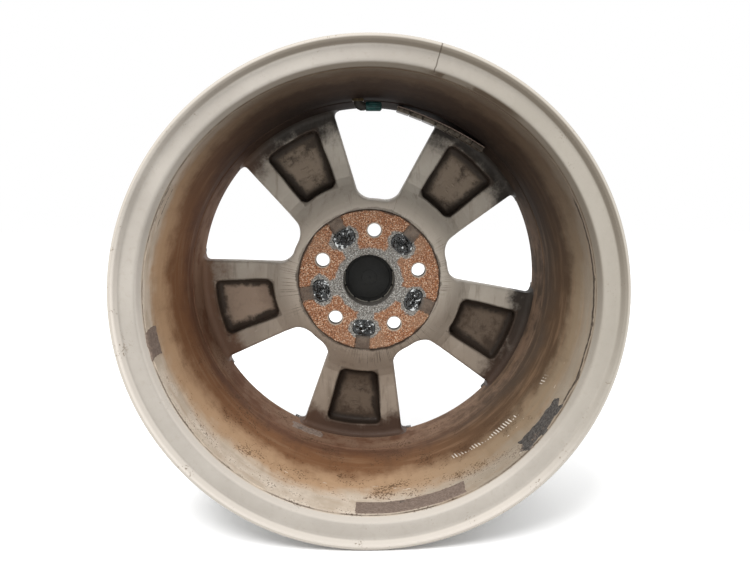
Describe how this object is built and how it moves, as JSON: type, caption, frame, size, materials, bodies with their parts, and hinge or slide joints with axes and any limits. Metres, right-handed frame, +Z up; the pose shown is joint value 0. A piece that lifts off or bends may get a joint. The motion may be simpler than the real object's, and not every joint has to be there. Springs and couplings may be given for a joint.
{
  "type": "five-spoke wheel rim",
  "caption": "One-piece five-spoke wheel rim with a deep barrel, a bolt-on hub pad, a centre cap, an angled tyre valve and adhesive balance weights.",
  "frame": {"origin": "on the wheel's axis, half way between the two flange faces, which is the centre of the bounding box", "axes": "+Y along the wheel's axis towards the street side, -Y towards the car, +Z up, +X to the right of someone who looks at the car side"},
  "size_m": [0.4716, 0.2134, 0.4716],
  "materials": {
    "barrel_alloy": "warm pale silver lacquer on aluminium, brown brake dust baked on inside the barrel",
    "hub_alloy": "machined mounting pad with rust bloom transferred from the car's hub and grey oxide round the bore",
    "spoke_alloy": "warm grey lacquer with dark grime in the back pockets",
    "cap_plastic": "matte black moulded plastic",
    "spring_steel": "drawn spring wire",
    "badge_metal": "plain satin silver disc",
    "valve_black": "black rubber-coated brass, dusty",
    "seal_rubber": "black rubber",
    "valve_brass": "tarnished brass",
    "valve_cap_plastic": "dark teal-green plastic, dusty",
    "weight_metal": "dull silver coated blocks, scuffed",
    "foam_tape": "dirty grey-brown foam adhesive"
  },
  "bodies": {
    "wheel": {"barrel": "barrel_alloy", "hub": "hub_alloy", "spoke_1": "spoke_alloy", "spoke_2": "spoke_alloy", "spoke_3": "spoke_alloy", "spoke_4": "spoke_alloy", "spoke_5": "spoke_alloy", "valve_elbow": "valve_black", "valve_grommet": "seal_rubber", "valve_nut": "valve_brass", "valve_core": "valve_brass", "valve_spring": "spring_steel", "weight_1": "weight_metal", "weight_2": "weight_metal", "weight_3": "weight_metal", "weight_4": "weight_metal", "weight_5": "weight_metal", "weight_6": "weight_metal", "weight_7": "weight_metal", "weight_tape": "foam_tape", "old_tape_bottom": "foam_tape", "old_tape_right": "foam_tape", "old_tape_left": "foam_tape", "old_tape_inner": "foam_tape"},
    "centre_cap": {"cap_shell": "cap_plastic", "cap_spring_ring": "spring_steel", "cap_badge": "badge_metal"},
    "valve_pin": {"valve_pin": "valve_brass"},
    "valve_cap": {"valve_cap": "valve_cap_plastic", "valve_cap_seal": "seal_rubber"}
  },
  "joints": [
    {"name": "centre_cap_pull", "type": "slide", "parent": "wheel", "child": "centre_cap", "axis": [0, 1, 0], "range_m": [0, 0.03]},
    {"name": "valve_pin_press", "type": "slide", "parent": "wheel", "child": "valve_pin", "axis": [-1, 0, 0], "range_m": [0, 0.0012], "stiffness_N_per_m": 1000, "springref_m": -0.0008, "deforming": ["valve_spring"]},
    {"name": "valve_cap_pull", "type": "slide", "parent": "wheel", "child": "valve_cap", "axis": [1, 0, 0], "range_m": [0, 0.01]}
  ]
}
